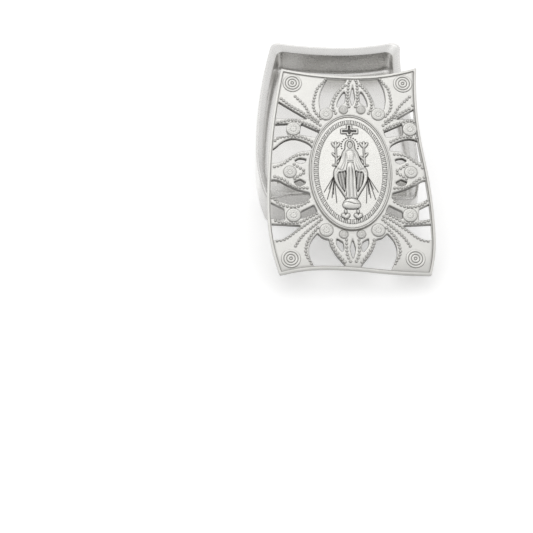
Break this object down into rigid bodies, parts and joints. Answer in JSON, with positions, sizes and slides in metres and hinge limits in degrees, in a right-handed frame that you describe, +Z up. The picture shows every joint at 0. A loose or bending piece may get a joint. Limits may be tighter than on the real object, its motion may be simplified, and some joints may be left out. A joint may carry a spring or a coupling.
{
  "type": "rosary box",
  "caption": "Pocket box for a string of prayer beads: a shallow cast tray and a pierced lift-off lid with a framed oval medal.",
  "frame": {"origin": "middle of the tray's flat underside", "axes": "+Z up, +Y towards the far end of the tray, away from the end where the lid lies at rest"},
  "size_m": [0.0555, 0.096, 0.0296],
  "materials": {
    "polished_silver_plate": "polished silver-tone plate over cast metal",
    "satin_silver_plate": "fine satin silver-tone plate over cast metal",
    "antiqued_silver": "silver-tone plate with darkened recesses"
  },
  "bodies": {
    "tray": {"tray": "polished_silver_plate"},
    "lid": {"lid": "satin_silver_plate", "bezel": "polished_silver_plate", "medal": "antiqued_silver"}
  },
  "joints": [
    {"name": "lid_lift", "type": "hinge", "parent": "tray", "child": "lid", "pos_m": [0, -0.02432, -0.07065], "axis": [0.989, 0.1302, 0.0706], "range_deg": [-18.5, 0]}
  ]
}
